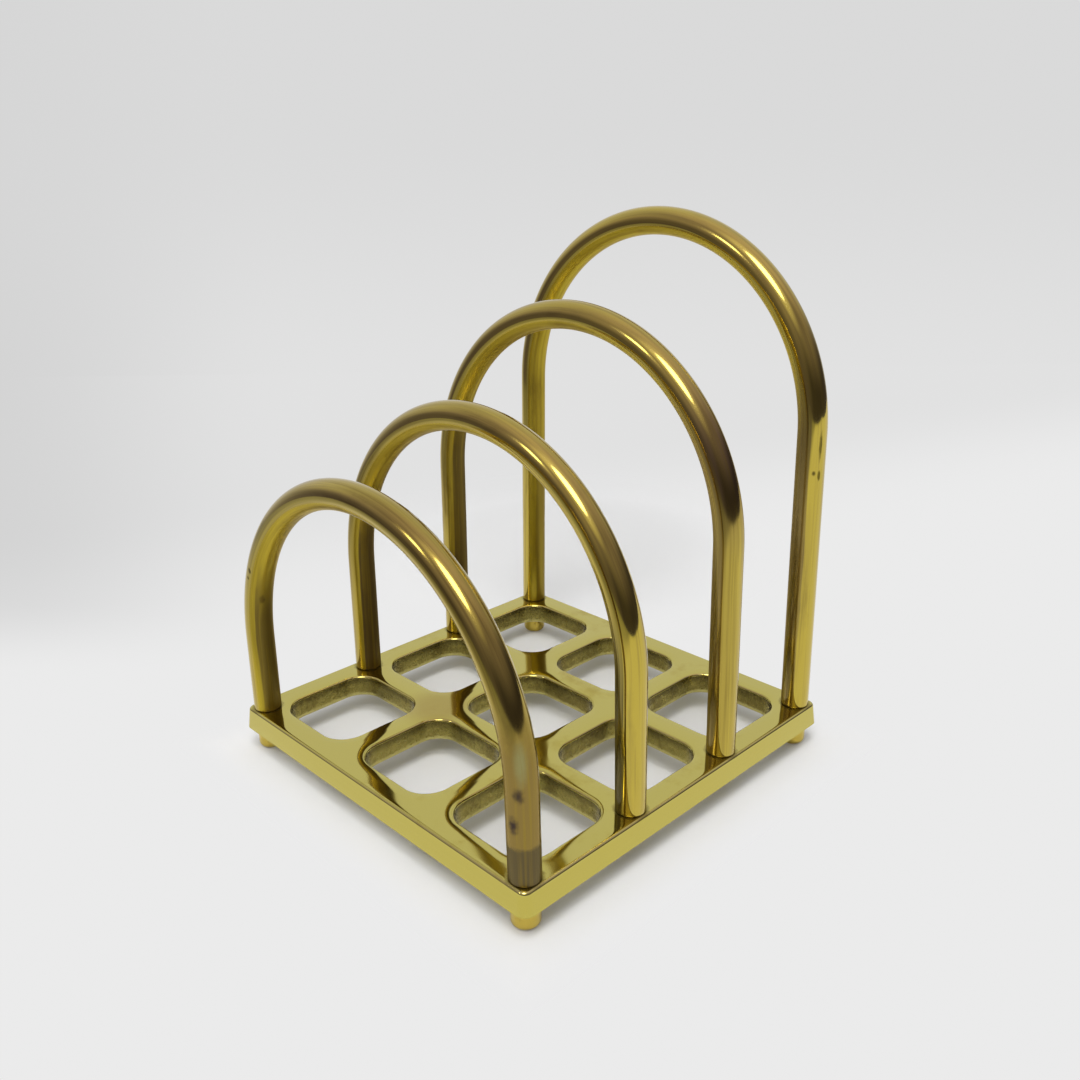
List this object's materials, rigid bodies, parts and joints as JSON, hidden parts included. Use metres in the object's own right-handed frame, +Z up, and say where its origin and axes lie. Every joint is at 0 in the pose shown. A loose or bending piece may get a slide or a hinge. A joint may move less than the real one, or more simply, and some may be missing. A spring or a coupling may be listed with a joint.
{
  "type": "letter rack",
  "caption": "Brass letter rack with bent-bar arches of rising height standing across a square base pierced with round-cornered windows, on button feet; holds letters on edge.",
  "frame": {"origin": "on the surface the rack stands on, below the middle of the base", "axes": "+X along the arches, +Y from the lowest arch to the tallest, +Z up"},
  "size_m": [0.1317, 0.1318, 0.1643],
  "materials": {
    "cast_brass": "polished casting, lightly tarnished",
    "bar_brass": "polished bar, browned by tarnish",
    "turned_brass": "turned, lightly tarnished"
  },
  "bodies": {
    "root": {"base": "cast_brass", "front_arch": "bar_brass", "second_arch": "bar_brass", "third_arch": "bar_brass", "back_arch": "bar_brass", "front_left_foot": "turned_brass", "front_right_foot": "turned_brass", "back_left_foot": "turned_brass", "back_right_foot": "turned_brass", "leg_screws": "turned_brass"}
  },
  "joints": []
}
